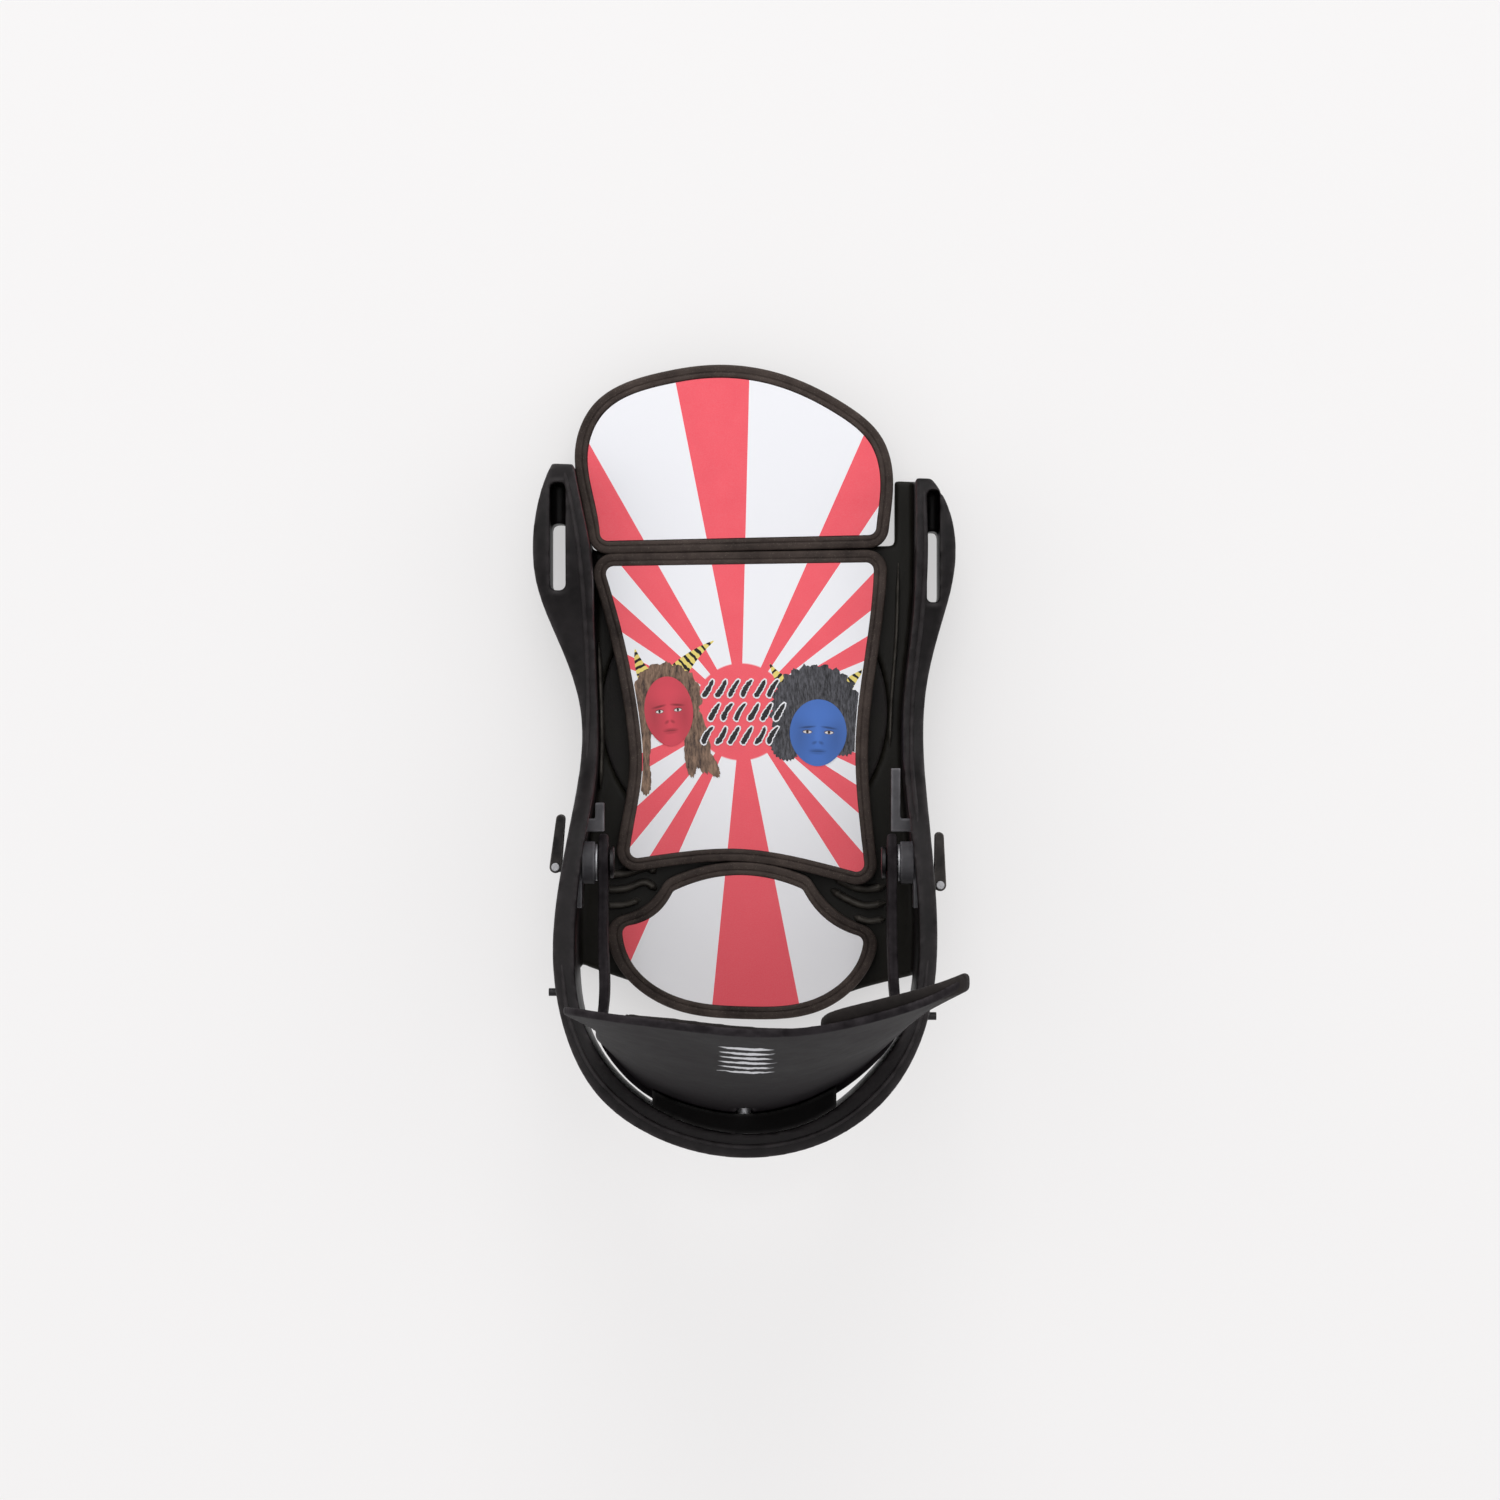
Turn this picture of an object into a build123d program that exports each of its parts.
from build123d import *

import math
import os

# A strapless snowboard binding for the right foot, in millimetres.
# +Y points to the toe, +X to the outer side of the foot, +Z up.
# The origin is the centre of the mounting disc on the board's top surface.

# ------------------------------------------------------------------ overall sizes
BASE_WIDTH = 160.0        # over the two strap wings
BASE_LENGTH = 261.0       # from the tip of the inner wing to the back of the heel loop
HIGHBACK_TOP = 280.0      # height of the highback's rim above the board
DRAWN_WIDTH = 160.0       # width at which the plan outlines below are drawn
DRAWN_LENGTH = 261.0      # length at which the plan outlines below are drawn
DRAWN_TOP = 280.0         # rim height at which the highback's front view is drawn

# ------------------------------------------------------------------ base
BASE_PAD = 3.0            # foam pads between the base and the board
FLOOR = 8.0               # thickness of the base's floor
FLOOR_TOP = BASE_PAD + FLOOR
PAD_INSET = 4.0           # foam pads stay this far inside the base's outline
LOOP_TOP = 95.0           # top of the heel loop at the back
LOOP_LOW = 62.0           # underside of the heel loop at the back
GAP = 0.3                 # clearance between pieces that move past each other
TOUCH = 0.15              # clearance round an inlaid piece

# ------------------------------------------------------------------ mounting disc
DISC_R = 55.0             # flange that clamps the base
DISC_FLANGE = 3.0
DISC_HUB_R = 47.0
DISC_LIFT = 0.6           # the hub stays this far above the board until it is clamped
BOLT_SPACING = 40.0       # four-hole pattern, 40 x 40
BOLT_SLOT_W = 6.5         # slots for M6 screws
BOLT_SLOT_L = 14.0
HEAD_SLOT_W = 13.0        # recess for the screw heads
HEAD_DEPTH = 4.4

# ------------------------------------------------------------------ footbed
PAD_RIM = 4.0             # visible rubber rim round each printed sheet
PAD_TOP = 22.0            # height of the pads' rims
SHEET = 0.8               # thickness of the printed sheets
SHEET_SUNK = 0.3          # sheets lie this far below the rims
CORNER_R = 3.0
TOE_RISE = 4.0            # degrees by which the toe pad climbs forward
SHELF = 4.0               # thickness of the shelf that carries the toe ramp
SHELF_HALF = 44.0
SHELF_BACK = 58.0
SHELF_FRONT = 108.0
RAMP_TOP = 14.0
RAMP_INSET = 0.8          # the ramp lies this far inside the toe pad's outline
RAMP_TRAVEL = 12.0        # how far the toe ramp pulls forward
RAMP_SCREW_X = 30.0
RAMP_SCREW_Y = 82.0
RAMP_SCREW_R = 2.5
RAMP_HEAD_R = 4.5
RAMP_HEAD = 1.8

# ------------------------------------------------------------------ strap slots in the wings
SLOT_INNER_SIDE = (-73.8, -67.9, 46.0, 72.0)     # x from, x to, y from, y to
SLOT_OUTER_SIDE = (69.3, 74.1, 41.5, 69.0)
SLOT_BLIND = 15.0         # the slot runs on this far forward without going through
SLOT_BLIND_Z = 24.0
SLOT_LAP = 1.0            # the blind stretch laps this far into the open one

# ------------------------------------------------------------------ highback
PIVOT_Y = -57.0
PIVOT_Z = 57.0
PIVOT_R = 3.0
PIVOT_FIT = 0.05          # radial running clearance on pins
ARM_INNER = -53.0         # middle of the arm on the inner side of the foot
ARM_OUTER = 55.5          # middle of the arm on the outer side of the foot
ARM = 3.6                 # thickness of the arms
ARM_ROUND = 11.0          # radius of the arms' ends round the pivots
ARM_STRAIGHT = -88.0      # the arms run straight to here before they wrap the heel
SHELL = 2.8               # thickness of the highback shell
SHELL_FOOT = 84.0         # height at which the shell starts to lean forward
SHELL_LOW = 58.0          # lowest edge of the shell at the heel
BACK_PAD = 4.0            # foam on the inside of the highback
WING_PAD = 4.5
STUD_HEAD_R = 6.0
STUD_HEAD = 1.8
WASHER_R = 7.0
WASHER = 1.0

# ------------------------------------------------------------------ forward-lean block
LEAN_HALF = 34.0
LEAN_HIGH = 13.0
LEAN_BACK = 0.6           # space left round the block
LEAN_DEEP = 22.0          # depth of the space the block is cut from
LEAN_TRAVEL = 12.0
LEAN_SCREW_R = 2.5
LEAN_HEAD_R = 4.5
LEAN_HEAD = 2.4
LEAN_NUT_R = 4.5
LEAN_NUT = 3.0
LEAN_NUT_OFF = 2.2        # the nut stands this far off the curved shell

# ------------------------------------------------------------------ hinge sliders and levers
RAIL_INNER_X = -61.0      # inner face of the rail beside the pivot, inner side of the foot
RAIL_OUTER_X = 63.6       # the same on the outer side of the foot
SLIDER_HALF = 17.0        # half the slider's length along the rail
SLIDER_LOW = 44.0
SLIDER_HIGH = 62.0
SLIDER_DEPTH = 3.0        # how deep the sliders sit in the rails
SLIDER_BOSS_R = 8.0
TONGUE_BACK = -45.5       # the sliders' tongues start this far back
TONGUE_INNER = -34.5      # and reach this far forward
TONGUE_OUTER = -21.5
TONGUE_W = 3.4
TONGUE_H = 7.0
BRIDGE = 5.0              # stretch that joins a tongue to its slider
POCKET_REACH = 15.0       # the pockets are open this far inwards
CAM_Z = 49.0
CAM_R = 2.0
CAM_INNER = (-71.3, -58.8)    # lever pins, x and y
CAM_OUTER = (73.9, -65.6)
EYE_R = 2.3
EYE = 4.0                 # height of the eye along the pin
LEVER_PIN_R = 1.0
LEVER_L = 20.0            # from the pin to the tip
LEVER_TIP_R = 1.7
LEVER_EAR = 2.4           # each of the fork's two ears
LEVER_LEAN_INNER = -6.0   # degrees by which the levers follow the rails
LEVER_LEAN_OUTER = 1.0
PIN_HEAD_R = 1.6
PIN_HEAD = 0.7
PEG_R = 1.5
PEG_L = 8.0
PEG_Z = 66.0
PEG_INNER = (-73.4, -105.4)   # outer ends of the pegs, x and y
PEG_OUTER = (72.0, -114.4)

# ------------------------------------------------------------------ plan outlines
RAIL_OUTSIDE = [
    (-73.3, 94.5), (-79.6, 72.0), (-79.0, 49.0), (-70.0, 24.9), (-62.4, 0.6), (-62.6, -23.7),
    (-69.1, -62.6), (-71.4, -92.2), (-67.0, -118.6), (-54.7, -142.3), (-31.0, -159.0), (0.0, -165.7),
    (32.0, -159.0), (54.1, -142.3), (67.1, -118.6), (71.9, -90.0), (70.6, -55.0), (68.1, -17.6),
    (68.9, 6.7), (74.2, 31.0), (79.6, 53.0), (78.4, 74.0), (71.0, 88.4),
]
RAIL_INSIDE = [
    (-65.2, 95.3), (-61.8, 78.0), (-58.4, 60.0), (-57.3, 36.0), (-56.0, 5.0), (-56.2, -25.0),
    (-60.4, -52.0), (-63.4, -90.0), (-60.0, -115.0), (-49.5, -133.5), (-29.0, -149.5), (0.0, -156.8),
    (24.0, -152.6), (47.8, -134.5), (61.0, -115.0), (65.2, -90.0), (63.4, -52.0), (60.2, -20.0),
    (60.6, 5.0), (64.0, 36.0), (65.0, 60.0), (65.0, 88.4),
]
FLOOR_BACK = [
    (-72.0, -92.0), (-60.0, -98.0), (-40.0, -105.0), (-17.0, -114.2), (0.0, -116.4), (25.0, -114.2),
    (38.8, -108.5), (58.0, -103.0), (74.0, -99.0),
]
OPEN_FRONT = [(65.0, 120.0), (-65.2, 120.0)]
OPEN_BACK = [(90.0, -180.0), (-90.0, -180.0)]
TOE_BAY = [(-66.5, 112.0), (-65.2, 95.3), (-58.4, 62.0), (57.8, 64.0), (57.8, 112.0)]
RAIL_TOP_SIDE = [
    (95.3, 20.0), (90.0, 41.0), (70.0, 46.0), (35.0, 41.0), (4.0, 38.0), (-18.0, 45.0), (-38.0, 64.0),
    (-62.0, 75.0), (-100.0, 84.0), (-140.0, 92.0), (-168.0, LOOP_TOP),
]
RAIL_UNDERSIDE = [(-84.0, BASE_PAD), (-104.0, 17.0), (-126.0, 49.0), (-146.0, 60.0), (-168.0, LOOP_LOW)]
TOE_PAD = [
    (-58.8, 61.2), (-62.4, 84.0), (-64.1, 100.2), (-57.2, 117.0), (-32.0, 129.0), (-10.1, 131.9),
    (12.0, 129.0), (38.1, 117.0), (51.8, 104.7), (56.0, 91.0), (54.9, 73.4), (54.0, 63.7),
]
CENTRE_OUTER_SIDE = [(49.7, 57.4), (48.0, 34.4), (44.2, 6.8), (42.6, -14.6), (44.2, -42.1), (46.5, -62.5)]
CENTRE_BACK = [(46.5, -62.5), (27.3, -57.4), (-3.6, -52.5), (-26.2, -54.0), (-44.6, -56.7)]
CENTRE_INNER_SIDE = [
    (-44.6, -56.7), (-42.3, -42.1), (-39.4, -22.0), (-40.7, -2.4), (-48.0, 34.4), (-54.3, 55.9),
]
HEEL_FRONT = [(-27.5, -68.6), (-2.9, -62.4), (22.4, -67.8)]
HEEL_INNER_SIDE = [(-47.0, -82.0), (-35.0, -78.0), (-27.5, -68.6)]
HEEL_OUTER_SIDE = [(22.4, -67.8), (31.6, -79.5), (45.8, -86.2)]
HEEL_BACK = [
    (45.8, -86.2), (42.6, -97.2), (28.1, -109.5), (0.2, -112.9), (-25.1, -109.5), (-40.0, -100.3),
    (-47.0, -82.0),
]

# ------------------------------------------------------------------ highback outlines
SHELL_FOOT_PLAN = [
    (-53.6, -121.0), (-48.0, -129.0), (-37.3, -139.9), (-20.0, -148.4), (-2.0, -151.6), (16.0, -148.9),
    (33.5, -140.6), (48.0, -129.0), (56.6, -117.0),
]
SHELL_RIM_PLAN = [
    (-70.0, -100.2), (-52.0, -103.8), (-34.0, -106.4), (-17.0, -108.9), (0.0, -110.9), (20.0, -110.8),
    (42.0, -106.8), (62.0, -100.4), (80.0, -90.6),
]
BACK_FRONT_VIEW = [
    (-54.4, 62.0), (-53.6, 110.0), (-52.4, 190.0), (-55.0, 226.0), (-62.0, 250.0), (-57.0, 262.0),
    (-35.0, 271.0), (0.0, 277.5), (35.0, 279.6), (62.0, 275.0), (75.0, 262.0), (70.0, 238.0),
    (60.0, 200.0), (56.4, 110.0), (56.6, 62.0),
]
BACK_PAD_VIEW = [
    (-42.0, 128.0), (-44.0, 190.0), (-40.0, 238.0), (-8.0, 254.0), (19.0, 246.0), (23.0, 214.0),
    (37.0, 200.0), (45.0, 160.0), (41.0, 128.0), (0.0, 119.0),
]
WING_PAD_VIEW = [
    (28.5, 222.0), (27.5, 250.0), (31.0, 273.0), (48.0, 275.5), (63.0, 270.5), (71.0, 259.0),
    (66.5, 238.0), (58.0, 218.0), (42.0, 213.0),
]
HEEL_WRAP_PLAN = [
    (-52.6, -110.0), (-53.0, -119.0), (-48.0, -129.0), (-37.3, -139.9), (-20.0, -148.4), (-2.0, -151.6),
    (16.0, -148.9), (33.5, -140.6), (48.0, -129.0), (56.0, -117.0), (56.2, -106.0),
]
WRAP_TOP_SIDE = [(-57.0, 68.0), (-90.0, 75.0), (-114.0, 85.0), (-126.0, 87.0)]
WRAP_UNDERSIDE = [(-57.0, 46.0), (-90.0, 49.0), (-124.0, 57.0), (-160.0, SHELL_LOW)]


def plan(points):
    """Plan points stretched from the drawn size to the chosen width and length."""
    return [(x * BASE_WIDTH / DRAWN_WIDTH, y * BASE_LENGTH / DRAWN_LENGTH) for x, y in points]


def side(points):
    """Side-view points (y, z) stretched to the chosen length."""
    return [(y * BASE_LENGTH / DRAWN_LENGTH, z) for y, z in points]


def front(points):
    """Front-view points (x, z) stretched to the chosen width and highback height."""
    rise = (HIGHBACK_TOP - SHELL_FOOT) / (DRAWN_TOP - SHELL_FOOT)
    return [(x * BASE_WIDTH / DRAWN_WIDTH, z + max(z - SHELL_FOOT, 0.0) * (rise - 1.0)) for x, z in points]


def moved_off(points, distance):
    """Points moved sideways off their own line, to its left for a positive distance."""
    moved = []
    for i, (x, y) in enumerate(points):
        before = points[max(i - 1, 0)]
        after = points[min(i + 1, len(points) - 1)]
        run = math.hypot(after[0] - before[0], after[1] - before[1])
        across = (before[1] - after[1], after[0] - before[0])
        moved.append((x + distance * across[0] / run, y + distance * across[1] / run))
    return moved


def middle(points):
    """The point nearest to the lengthwise centre line."""
    return min(points, key=lambda point: abs(point[0]))


def normal(start, end):
    """Unit vector to the left of the way from one plan point to another."""
    run = math.hypot(end[0] - start[0], end[1] - start[1])
    return ((start[1] - end[1]) / run, (end[0] - start[0]) / run)


def closed_face(spans, shift=0.0, corner=0.0):
    """Face inside a closed run of curves, all moved to their left by the shift."""
    loop = [point for span in spans for point in span[:-1]]
    moved = {}
    for i, point in enumerate(loop):
        before = normal(loop[i - 1], point)
        after = normal(point, loop[(i + 1) % len(loop)])
        reach = shift / (1 + before[0] * after[0] + before[1] * after[1])
        moved[point] = (point[0] + reach * (before[0] + after[0]), point[1] + reach * (before[1] + after[1]))
    with BuildSketch() as face:
        with BuildLine():
            for span in spans:
                ends = [moved[point] for point in span]
                if len(ends) == 2:
                    Line(*ends)
                else:
                    Spline(*ends)
        make_face()
        if corner > 0:
            fillet(face.vertices(), corner)
    return face.sketch


def band(points, thickness):
    """Closed face between a line and the same line moved to its left."""
    with BuildSketch() as face:
        with BuildLine():
            near = Spline(*points)
            far = Spline(*moved_off(points, thickness))
            Line(near @ 0, far @ 0)
            Line(near @ 1, far @ 1)
        make_face()
    return face.sketch


def crosswise(x, y, z):
    """Plane at a point, facing along +X."""
    return Plane(origin=(x, y, z), x_dir=(0, 1, 0), z_dir=(1, 0, 0))


def save(part, name):
    """Write one piece to its own STEP file."""
    part.label = name
    export_step(part, f"parts/{name}.step")


os.makedirs("parts", exist_ok=True)

WIDE = BASE_WIDTH / DRAWN_WIDTH
LONG = BASE_LENGTH / DRAWN_LENGTH
pivot_y = PIVOT_Y * LONG
arm_inner_x = ARM_INNER * WIDE
arm_outer_x = ARM_OUTER * WIDE
slider_face_inner = RAIL_INNER_X * WIDE - SLIDER_DEPTH
slider_face_outer = RAIL_OUTER_X * WIDE + SLIDER_DEPTH
cam_inner, cam_outer, peg_inner, peg_outer = plan([CAM_INNER, CAM_OUTER, PEG_INNER, PEG_OUTER])

# ------------------------------------------------------------------ shared outlines
outside = plan(RAIL_OUTSIDE)
inside = plan(RAIL_INSIDE)
open_front = plan(OPEN_FRONT)
open_back = plan(OPEN_BACK)
base_spans = [outside, [outside[-1], outside[0]]]
inside_spans = [inside, [inside[-1], open_front[0]], open_front, [open_front[1], inside[0]]]
floor_back = plan(FLOOR_BACK)
behind_spans = [floor_back, [floor_back[-1], open_back[0]], open_back, [open_back[1], floor_back[0]]]
toe_bay = plan(TOE_BAY)
toe_bay_spans = [[toe_bay[i - 1], toe_bay[i]] for i in range(len(toe_bay))]
toe_rim = plan(TOE_PAD)
toe_spans = [toe_rim, [toe_rim[-1], toe_rim[0]]]
centre_sides = [plan(CENTRE_OUTER_SIDE), plan(CENTRE_BACK), plan(CENTRE_INNER_SIDE)]
centre_spans = centre_sides + [[centre_sides[-1][-1], centre_sides[0][0]]]
heel_spans = [plan(HEEL_FRONT), plan(HEEL_OUTER_SIDE), plan(HEEL_BACK), plan(HEEL_INNER_SIDE)]

# ------------------------------------------------------------------ base with rails and heel loop
with BuildPart() as rails:
    with BuildSketch(Plane.XY.offset(BASE_PAD)):
        add(closed_face(base_spans))
        add(closed_face(inside_spans), mode=Mode.SUBTRACT)
    extrude(amount=LOOP_TOP)
    with BuildSketch(Plane.YZ):
        with BuildLine():
            top = Spline(*side(RAIL_TOP_SIDE))
            under = Spline(*side(RAIL_UNDERSIDE))
            Line(top @ 1, under @ 1)
            Polyline(under @ 0, (side(RAIL_TOP_SIDE)[0][0], BASE_PAD), top @ 0)
        make_face()
    extrude(amount=BASE_WIDTH, both=True, mode=Mode.INTERSECT)

with BuildPart() as baseplate:
    with BuildSketch(Plane.XY.offset(BASE_PAD)):
        add(closed_face(base_spans))
        add(closed_face(behind_spans), mode=Mode.SUBTRACT)
        add(closed_face(toe_bay_spans), mode=Mode.SUBTRACT)
    extrude(amount=FLOOR)
    add(rails.part)
    with BuildSketch(Plane.XY.offset(BASE_PAD)):
        with Locations((0, (SHELF_BACK + SHELF_FRONT) / 2 * LONG)):
            Rectangle(2 * SHELF_HALF * WIDE, (SHELF_FRONT - SHELF_BACK) * LONG)
    extrude(amount=SHELF)
    # Stepped round opening for the mounting disc
    with BuildSketch(Plane.XY.offset(FLOOR_TOP - DISC_FLANGE)):
        Circle(DISC_R + GAP)
    extrude(amount=DISC_FLANGE, mode=Mode.SUBTRACT)
    with BuildSketch(Plane.XY.offset(BASE_PAD)):
        Circle(DISC_HUB_R + GAP)
    extrude(amount=FLOOR, mode=Mode.SUBTRACT)
    # Strap slots, open below for most of their length and blind at the front
    for x_from, x_to, y_from, y_to in (SLOT_INNER_SIDE, SLOT_OUTER_SIDE):
        x_middle = (x_from + x_to) / 2 * WIDE
        with BuildSketch(Plane.XY.offset(BASE_PAD)):
            with Locations((x_middle, (y_from + y_to) / 2 * LONG)):
                Rectangle(x_to - x_from, (y_to - y_from) * LONG)
        extrude(amount=LOOP_TOP, mode=Mode.SUBTRACT)
        with BuildSketch(Plane.XY.offset(SLOT_BLIND_Z)):
            with Locations((x_middle, y_to * LONG + (SLOT_BLIND - SLOT_LAP) / 2)):
                Rectangle(x_to - x_from, SLOT_BLIND + SLOT_LAP)
        extrude(amount=LOOP_TOP, mode=Mode.SUBTRACT)
    # Slots under the toe ramp for its two screws
    with BuildSketch(Plane.XY.offset(BASE_PAD)):
        with Locations(*[(x, RAMP_SCREW_Y * LONG + RAMP_TRAVEL / 2)
                         for x in (-RAMP_SCREW_X * WIDE, RAMP_SCREW_X * WIDE)]):
            SlotOverall(RAMP_TRAVEL + 2 * (RAMP_SCREW_R + GAP), 2 * (RAMP_SCREW_R + GAP), rotation=90)
    extrude(amount=SHELF, mode=Mode.SUBTRACT)
    # Pockets for the hinge sliders in the inner faces of both rails
    for face_x, inward in ((slider_face_inner, 1), (slider_face_outer, -1)):
        with Locations((face_x + inward * POCKET_REACH / 2, pivot_y, (SLIDER_LOW + SLIDER_HIGH) / 2)):
            Box(POCKET_REACH, 2 * (SLIDER_HALF + TOUCH), SLIDER_HIGH - SLIDER_LOW + 2 * TOUCH,
                mode=Mode.SUBTRACT)
        with BuildSketch(crosswise(face_x + inward * SLIDER_DEPTH, pivot_y, PIVOT_Z)):
            Circle(SLIDER_BOSS_R + TOUCH)
        extrude(amount=inward * POCKET_REACH, mode=Mode.SUBTRACT)
    # Holes through the rails for the cam bolts
    for (x, y), face_x in ((cam_inner, slider_face_inner), (cam_outer, slider_face_outer)):
        with BuildSketch(crosswise(min(x, face_x), y, CAM_Z)):
            Circle(CAM_R)
        extrude(amount=abs(x - face_x), mode=Mode.SUBTRACT)
    # Holes for the side pegs
    for (x, y), start in ((peg_inner, peg_inner[0]), (peg_outer, peg_outer[0] - PEG_L)):
        with BuildSketch(crosswise(start, y, PEG_Z)):
            Circle(PEG_R)
        extrude(amount=PEG_L, mode=Mode.SUBTRACT)
save(baseplate.part, "baseplate")

for x_start, (x, y), name in ((peg_inner[0], peg_inner, "side_peg_inner"),
                              (peg_outer[0] - PEG_L, peg_outer, "side_peg_outer")):
    with BuildPart() as side_peg:
        with BuildSketch(crosswise(x_start, y, PEG_Z)):
            Circle(PEG_R)
        extrude(amount=PEG_L)
    save(side_peg.part, name)

# ------------------------------------------------------------------ foam pads under the base
for name, toe_side in (("base_pad_front", True), ("base_pad_rear", False)):
    with BuildPart() as base_pad:
        with BuildSketch():
            add(closed_face(base_spans, PAD_INSET))
            add(closed_face(behind_spans, PAD_INSET), mode=Mode.SUBTRACT)
            add(closed_face(toe_bay_spans), mode=Mode.SUBTRACT)
            Circle(DISC_R + PAD_INSET, mode=Mode.SUBTRACT)
            with Locations((0, (-1 if toe_side else 1) * BASE_LENGTH / 2)):
                Rectangle(2 * BASE_WIDTH, BASE_LENGTH, mode=Mode.SUBTRACT)
            # No foam under the wings, from the strap slots outwards and forwards
            for slot_x, outward, slot_y in ((SLOT_INNER_SIDE[1], -1, SLOT_INNER_SIDE[2]),
                                            (SLOT_OUTER_SIDE[0], 1, SLOT_OUTER_SIDE[2])):
                wing_x = slot_x * WIDE + outward * (BASE_WIDTH / 2 - PAD_INSET)
                with Locations((wing_x, slot_y * LONG - PAD_INSET + BASE_LENGTH / 2)):
                    Rectangle(BASE_WIDTH, BASE_LENGTH, mode=Mode.SUBTRACT)
        extrude(amount=BASE_PAD)
    save(base_pad.part, name)

# ------------------------------------------------------------------ mounting disc
with BuildPart() as mounting_disc:
    with BuildSketch(Plane.XY.offset(DISC_LIFT)):
        Circle(DISC_HUB_R)
    extrude(amount=FLOOR_TOP - DISC_FLANGE + GAP - DISC_LIFT)
    with BuildSketch(Plane.XY.offset(FLOOR_TOP - DISC_FLANGE + GAP)):
        Circle(DISC_R)
    extrude(amount=DISC_FLANGE - GAP)
    with BuildSketch(Plane.XY.offset(DISC_LIFT)):
        with GridLocations(BOLT_SPACING, BOLT_SPACING, 2, 2):
            SlotOverall(BOLT_SLOT_L, BOLT_SLOT_W)
    extrude(amount=FLOOR_TOP, mode=Mode.SUBTRACT)
    with BuildSketch(Plane.XY.offset(FLOOR_TOP - HEAD_DEPTH)):
        with GridLocations(BOLT_SPACING, BOLT_SPACING, 2, 2):
            SlotOverall(BOLT_SLOT_L + HEAD_SLOT_W - BOLT_SLOT_W, HEAD_SLOT_W)
    extrude(amount=HEAD_DEPTH, mode=Mode.SUBTRACT)
save(mounting_disc.part, "mounting_disc")

# ------------------------------------------------------------------ toe ramp, toe pad and toe sheet
toe_seam_y = plan([TOE_PAD[0]])[0][1]
toe_sloped = [[(x, y - toe_seam_y) for x, y in span] for span in toe_spans]
toe_slope = Plane(origin=(0, toe_seam_y, PAD_TOP), x_dir=(1, 0, 0),
                  z_dir=Vector(0, 0, 1).rotate(Axis.X, TOE_RISE))
sheet_base = toe_slope.offset(-SHEET_SUNK - SHEET)
TOE_HIGH = PAD_TOP + BASE_LENGTH * math.tan(math.radians(TOE_RISE))
ramp_floor = BASE_PAD + SHELF + GAP
screw_spots = [(-RAMP_SCREW_X * WIDE, RAMP_SCREW_Y * LONG), (RAMP_SCREW_X * WIDE, RAMP_SCREW_Y * LONG)]

with BuildPart() as toe_ramp:
    with BuildSketch(Plane.XY.offset(ramp_floor)):
        add(closed_face(toe_spans, -RAMP_INSET, CORNER_R))
    extrude(amount=RAMP_TOP - ramp_floor)
    with BuildSketch(Plane.XY.offset(ramp_floor)):
        with Locations(*screw_spots):
            Circle(RAMP_SCREW_R)
    extrude(amount=RAMP_TOP, mode=Mode.SUBTRACT)
save(toe_ramp.part, "toe_ramp")

with BuildPart() as toe_ramp_screws:
    with BuildSketch(Plane.XY.offset(BASE_PAD - GAP - RAMP_HEAD)):
        with Locations(*screw_spots):
            Circle(RAMP_HEAD_R)
    extrude(amount=RAMP_HEAD)
    with BuildSketch(Plane.XY.offset(BASE_PAD - GAP)):
        with Locations(*screw_spots):
            Circle(RAMP_SCREW_R)
    extrude(amount=RAMP_TOP - BASE_PAD + GAP)
save(toe_ramp_screws.part, "toe_ramp_screws")

with BuildPart() as toe_pad:
    with BuildSketch(Plane.XY.offset(RAMP_TOP)):
        add(closed_face(toe_spans, 0.0, CORNER_R + PAD_RIM))
    extrude(amount=TOE_HIGH)
    split(bisect_by=toe_slope, keep=Keep.BOTTOM)
    with BuildSketch(sheet_base):
        add(closed_face(toe_sloped, -PAD_RIM, CORNER_R))
    extrude(amount=TOE_HIGH, mode=Mode.SUBTRACT)
save(toe_pad.part, "toe_pad")

with BuildPart() as toe_sheet:
    with BuildSketch(sheet_base):
        add(closed_face(toe_sloped, -PAD_RIM - TOUCH, CORNER_R))
    extrude(amount=SHEET)
save(toe_sheet.part, "toe_sheet")

# ------------------------------------------------------------------ centre and heel pads with their sheets
for name, spans, lift in (("centre", centre_spans, GAP), ("heel", heel_spans, 0.0)):
    with BuildPart() as pad:
        with BuildSketch(Plane.XY.offset(FLOOR_TOP + lift)):
            add(closed_face(spans, PAD_RIM, CORNER_R + PAD_RIM))
        extrude(amount=PAD_TOP - FLOOR_TOP - lift)
        with BuildSketch(Plane.XY.offset(PAD_TOP - SHEET_SUNK - SHEET)):
            add(closed_face(spans, 0.0, CORNER_R))
        extrude(amount=PAD_TOP, mode=Mode.SUBTRACT)
    save(pad.part, name + "_pad")
    with BuildPart() as sheet:
        with BuildSketch(Plane.XY.offset(PAD_TOP - SHEET_SUNK - SHEET)):
            add(closed_face(spans, -TOUCH, CORNER_R))
        extrude(amount=SHEET)
    save(sheet.part, name + "_sheet")

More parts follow.
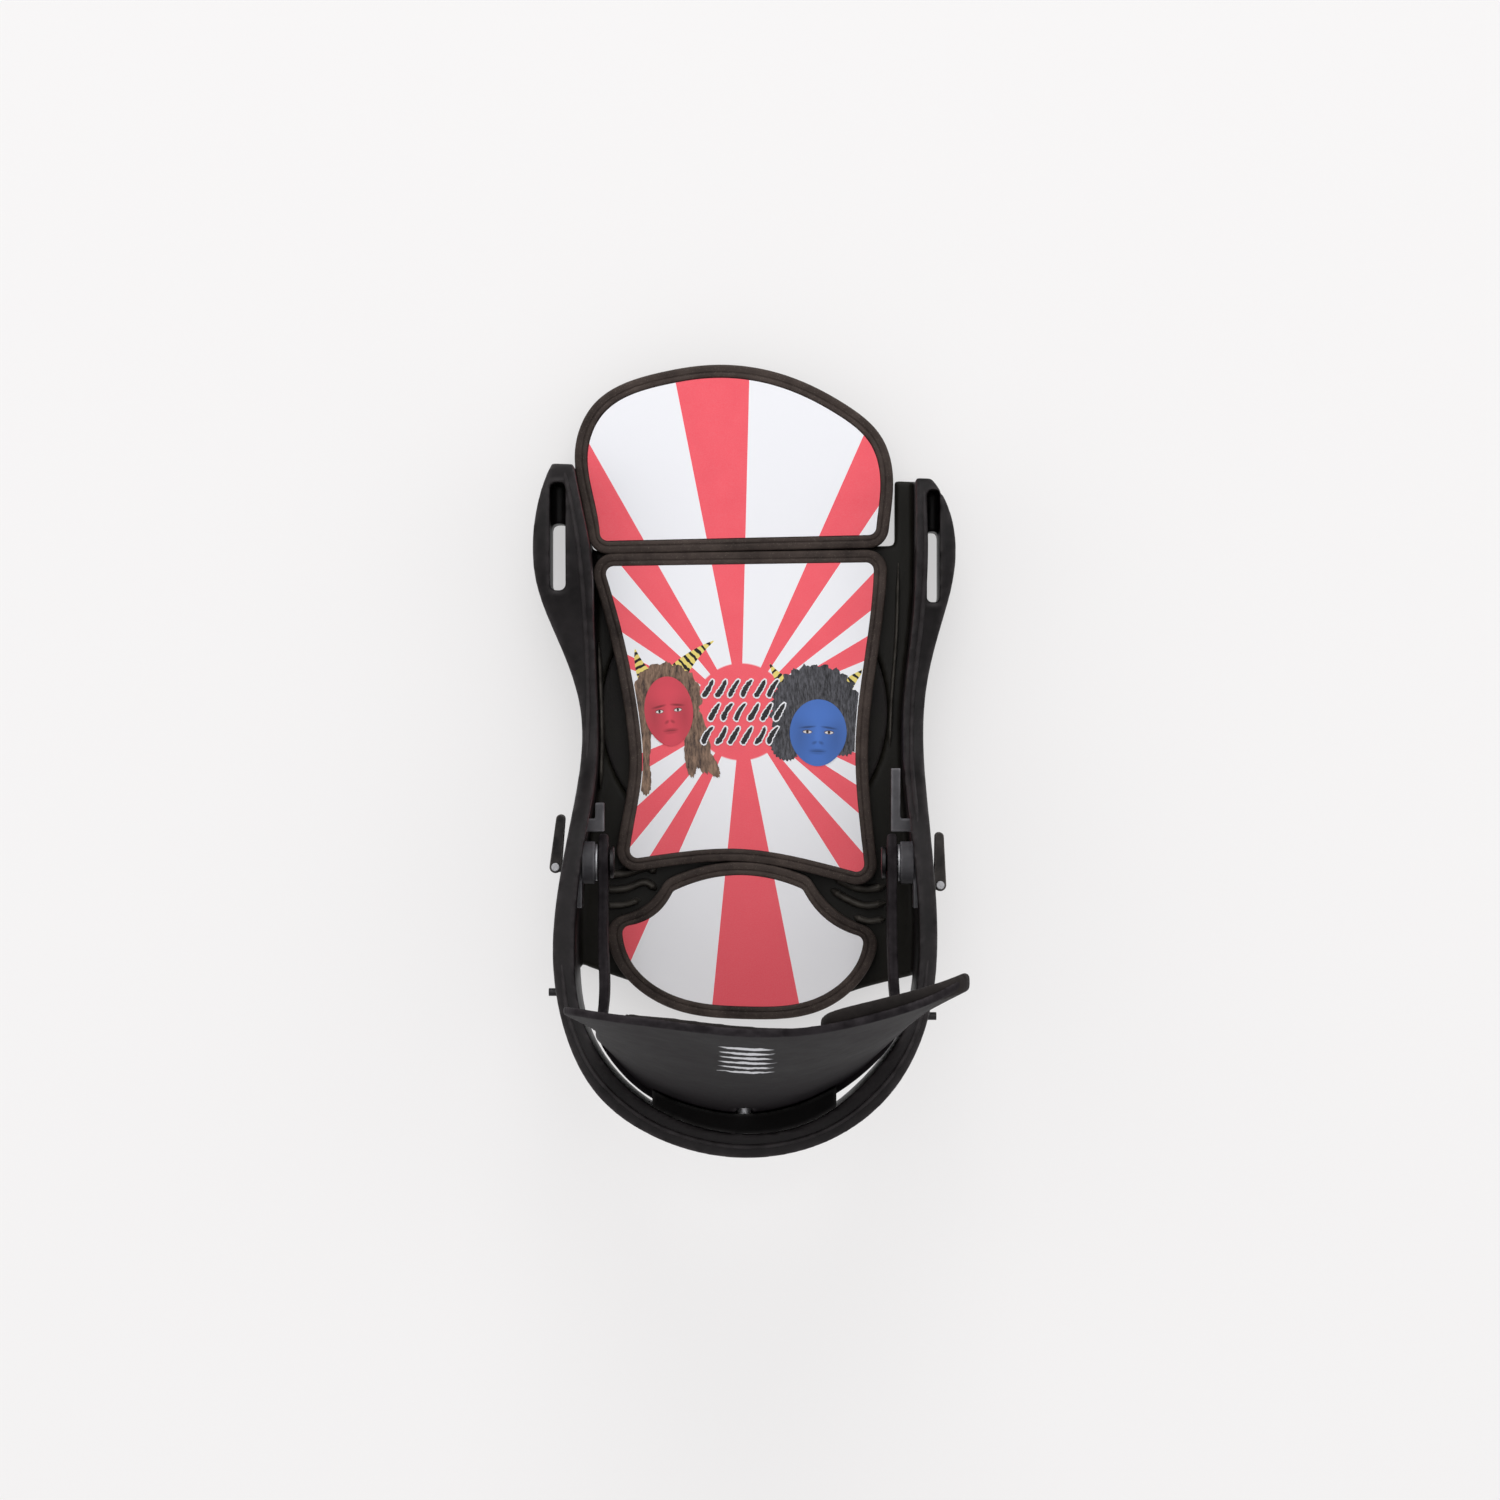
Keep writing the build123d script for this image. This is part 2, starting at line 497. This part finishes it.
# ------------------------------------------------------------------ highback
arm_stations = (pivot_y + ARM_ROUND, pivot_y, pivot_y - ARM_ROUND, ARM_STRAIGHT * LONG)
arms_plan = [(arm_inner_x, y) for y in arm_stations]
arms_plan += plan(HEEL_WRAP_PLAN)
arms_plan += [(arm_outer_x, y) for y in reversed(arm_stations)]
foot_plan = plan(SHELL_FOOT_PLAN)
rim_plan = plan(SHELL_RIM_PLAN)
loop_inside_y = min(y for x, y in inside)
block_back = loop_inside_y + LEAN_BACK
lean_low = SHELL_FOOT + ARM + GAP
lean_screw_z = lean_low + LEAN_HIGH / 2
foot_y = middle(foot_plan)[1]
lean_slope = (middle(rim_plan)[1] - foot_y) / (HIGHBACK_TOP - SHELL_FOOT)
shell_front_y = foot_y + SHELL + (lean_screw_z - SHELL_FOOT) * lean_slope
nut_y = shell_front_y + LEAN_NUT_OFF

with BuildPart() as heel_wrap:
    with BuildSketch():
        add(band(moved_off(arms_plan, -ARM / 2), ARM))
    extrude(amount=SHELL_FOOT + ARM)
    with BuildSketch(Plane.YZ):
        with BuildLine():
            over = Spline(*side(WRAP_TOP_SIDE))
            beneath = Spline(*side(WRAP_UNDERSIDE))
            ThreePointArc(over @ 0, (pivot_y + ARM_ROUND, PIVOT_Z), beneath @ 0)
            Polyline(over @ 1, ((beneath @ 1).X, SHELL_FOOT + ARM), beneath @ 1)
        make_face()
    extrude(amount=BASE_WIDTH, both=True, mode=Mode.INTERSECT)

with BuildPart() as front_view:
    with BuildSketch(Plane.XZ):
        with BuildLine():
            Spline(*front(BACK_FRONT_VIEW))
            Line(*front([BACK_FRONT_VIEW[-1], BACK_FRONT_VIEW[0]]))
        make_face()
    extrude(amount=BASE_LENGTH)

with BuildPart() as highback_shell:
    with BuildSketch(Plane.XY.offset(SHELL_FOOT)):
        add(band(foot_plan, SHELL))
    with BuildSketch(Plane.XY.offset(HIGHBACK_TOP)):
        add(band(rim_plan, SHELL))
    loft()
    add(front_view.part, mode=Mode.INTERSECT)
    add(heel_wrap.part)
    for x in (arm_inner_x, arm_outer_x):
        with BuildSketch(crosswise(x - ARM, pivot_y, PIVOT_Z)):
            Circle(PIVOT_R + PIVOT_FIT)
        extrude(amount=2 * ARM, mode=Mode.SUBTRACT)
    # Upright slot in which the forward-lean screw travels
    with BuildSketch(Plane.XZ.offset(-block_back)):
        with Locations((0, lean_screw_z + LEAN_TRAVEL / 2)):
            SlotOverall(LEAN_TRAVEL + 2 * (LEAN_SCREW_R + GAP), 2 * (LEAN_SCREW_R + GAP), rotation=90)
    extrude(amount=-LEAN_DEEP, mode=Mode.SUBTRACT)
save(highback_shell.part, "highback_shell")

# ------------------------------------------------------------------ foam on the inside of the highback
foot_front = moved_off(foot_plan, SHELL)
rim_front = moved_off(rim_plan, SHELL)
for name, view, thick in (("highback_pad", BACK_PAD_VIEW, BACK_PAD),
                          ("highback_wing_pad", WING_PAD_VIEW, WING_PAD)):
    with BuildPart() as pad_view:
        with BuildSketch(Plane.XZ):
            with BuildLine():
                Spline(*front(view + view[:1]))
            make_face()
        extrude(amount=BASE_LENGTH)
    with BuildPart() as back_pad:
        with BuildSketch(Plane.XY.offset(SHELL_FOOT)):
            add(band(foot_front, thick))
        with BuildSketch(Plane.XY.offset(HIGHBACK_TOP)):
            add(band(rim_front, thick))
        loft()
        add(pad_view.part, mode=Mode.INTERSECT)
    save(back_pad.part, name)

# ------------------------------------------------------------------ forward-lean block, its screw and nut
with BuildPart() as shell_room:
    with BuildSketch(Plane.XY.offset(SHELL_FOOT)):
        add(band(moved_off(foot_plan, -LEAN_BACK), LEAN_DEEP))
    with BuildSketch(Plane.XY.offset(HIGHBACK_TOP)):
        add(band(moved_off(rim_plan, -LEAN_BACK), LEAN_DEEP))
    loft()

with BuildPart() as lean_block:
    with BuildSketch(Plane.XY.offset(lean_low)):
        add(closed_face(inside_spans, LEAN_BACK))
        with Locations((0, loop_inside_y + LEAN_DEEP / 2)):
            Rectangle(2 * LEAN_HALF * WIDE, LEAN_DEEP, mode=Mode.INTERSECT)
    extrude(amount=LEAN_HIGH)
    add(shell_room.part, mode=Mode.SUBTRACT)
    with BuildSketch(Plane.XZ.offset(-block_back)):
        with Locations((0, lean_screw_z)):
            Circle(LEAN_HEAD_R)
    extrude(amount=-LEAN_HEAD, mode=Mode.SUBTRACT)
    with BuildSketch(Plane.XZ.offset(-block_back)):
        with Locations((0, lean_screw_z)):
            Circle(LEAN_SCREW_R)
    extrude(amount=-LEAN_DEEP, mode=Mode.SUBTRACT)
save(lean_block.part, "lean_block")

with BuildPart() as lean_screw:
    with BuildSketch(Plane.XZ.offset(-block_back)):
        with Locations((0, lean_screw_z)):
            Circle(LEAN_HEAD_R)
    extrude(amount=-LEAN_HEAD)
    with BuildSketch(Plane.XZ.offset(-block_back)):
        with Locations((0, lean_screw_z)):
            Circle(LEAN_SCREW_R)
    extrude(amount=block_back - nut_y - LEAN_NUT)
save(lean_screw.part, "lean_screw")

with BuildPart() as lean_nut:
    with BuildSketch(Plane.XZ.offset(-nut_y)):
        with Locations((0, lean_screw_z)):
            RegularPolygon(LEAN_NUT_R, 6)
            Circle(LEAN_SCREW_R, mode=Mode.SUBTRACT)
    extrude(amount=-LEAN_NUT)
save(lean_nut.part, "lean_nut")

# ------------------------------------------------------------------ pivots, hinge sliders and side levers
for side_name, inward, face_x, arm_x, cam, lean, tongue_front in (
        ("inner", 1, slider_face_inner, arm_inner_x, cam_inner, LEVER_LEAN_INNER, TONGUE_INNER),
        ("outer", -1, slider_face_outer, arm_outer_x, cam_outer, LEVER_LEAN_OUTER, TONGUE_OUTER)):
    rail_x = face_x + inward * SLIDER_DEPTH
    washer_x = arm_x - inward * (ARM / 2 + GAP + WASHER)
    head_x = arm_x + inward * (ARM / 2 + GAP)
    tongue_back = TONGUE_BACK * LONG
    slider_mid_z = (SLIDER_LOW + SLIDER_HIGH) / 2
    tongue_z = SLIDER_LOW + TONGUE_H / 2

    with BuildPart() as slider:
        with Locations(((face_x + rail_x) / 2, pivot_y, slider_mid_z)):
            Box(SLIDER_DEPTH, 2 * SLIDER_HALF, SLIDER_HIGH - SLIDER_LOW)
        with BuildSketch(crosswise(rail_x, pivot_y, PIVOT_Z)):
            Circle(SLIDER_BOSS_R)
        extrude(amount=washer_x - rail_x)
        with Locations(((face_x + arm_x) / 2, tongue_back + BRIDGE / 2, tongue_z)):
            Box(abs(arm_x - face_x) - TOUCH, BRIDGE, TONGUE_H)
        with Locations((arm_x - inward * TONGUE_W / 2, (tongue_back + tongue_front * LONG) / 2, tongue_z)):
            Box(TONGUE_W, tongue_front * LONG - tongue_back, TONGUE_H)
        with BuildSketch(crosswise(min(face_x, arm_x), pivot_y, PIVOT_Z)):
            Circle(PIVOT_R)
        extrude(amount=abs(face_x - arm_x), mode=Mode.SUBTRACT)
        with BuildSketch(crosswise(min(face_x, rail_x), cam[1], CAM_Z)):
            Circle(CAM_R)
        extrude(amount=SLIDER_DEPTH, mode=Mode.SUBTRACT)
    save(slider.part, f"hinge_slider_{side_name}")

    with BuildPart() as washer:
        with BuildSketch(crosswise(washer_x, pivot_y, PIVOT_Z)):
            Circle(WASHER_R)
            Circle(PIVOT_R, mode=Mode.SUBTRACT)
        extrude(amount=inward * WASHER)
    save(washer.part, f"pivot_washer_{side_name}")

    with BuildPart() as stud:
        with BuildSketch(crosswise(face_x, pivot_y, PIVOT_Z)):
            Circle(PIVOT_R)
        extrude(amount=head_x - face_x)
        with BuildSketch(crosswise(head_x, pivot_y, PIVOT_Z)):
            Circle(STUD_HEAD_R)
        extrude(amount=inward * STUD_HEAD)
    save(stud.part, f"pivot_stud_{side_name}")

    with BuildPart() as cam_bolt:
        with BuildSketch(crosswise(rail_x, cam[1], CAM_Z)):
            Circle(CAM_R)
        extrude(amount=cam[0] - rail_x)
        with Locations((cam[0], cam[1], CAM_Z)):
            Cylinder(EYE_R, EYE)
            Cylinder(LEVER_PIN_R + PIVOT_FIT, EYE, mode=Mode.SUBTRACT)
    save(cam_bolt.part, f"cam_bolt_{side_name}")

    fork_half = EYE / 2 + GAP + LEVER_EAR
    lever_plane = Plane(origin=(cam[0], cam[1], CAM_Z - fork_half), z_dir=(0, 0, 1),
                        x_dir=Vector(1, 0, 0).rotate(Axis.Z, lean))
    with BuildPart() as lever:
        with BuildSketch(lever_plane):
            Circle(EYE_R)
            with Locations((0, LEVER_L - LEVER_TIP_R)):
                Circle(LEVER_TIP_R)
            with BuildLine():
                Polyline((-EYE_R, 0), (EYE_R, 0), (LEVER_TIP_R, LEVER_L - LEVER_TIP_R),
                         (-LEVER_TIP_R, LEVER_L - LEVER_TIP_R), close=True)
            make_face()
        extrude(amount=2 * fork_half)
        with Locations((cam[0], cam[1], CAM_Z)):
            Cylinder(math.hypot(EYE_R, CAM_R) + GAP, EYE + 2 * GAP, mode=Mode.SUBTRACT)
            Cylinder(LEVER_PIN_R, 3 * fork_half, mode=Mode.SUBTRACT)
    save(lever.part, f"cam_lever_{side_name}")

    with BuildPart() as lever_pin:
        with BuildSketch(Plane(origin=(cam[0], cam[1], CAM_Z - fork_half))):
            Circle(LEVER_PIN_R)
        extrude(amount=2 * fork_half)
        with BuildSketch(Plane(origin=(cam[0], cam[1], CAM_Z + fork_half))):
            Circle(PIN_HEAD_R)
        extrude(amount=PIN_HEAD)
    save(lever_pin.part, f"lever_pin_{side_name}")
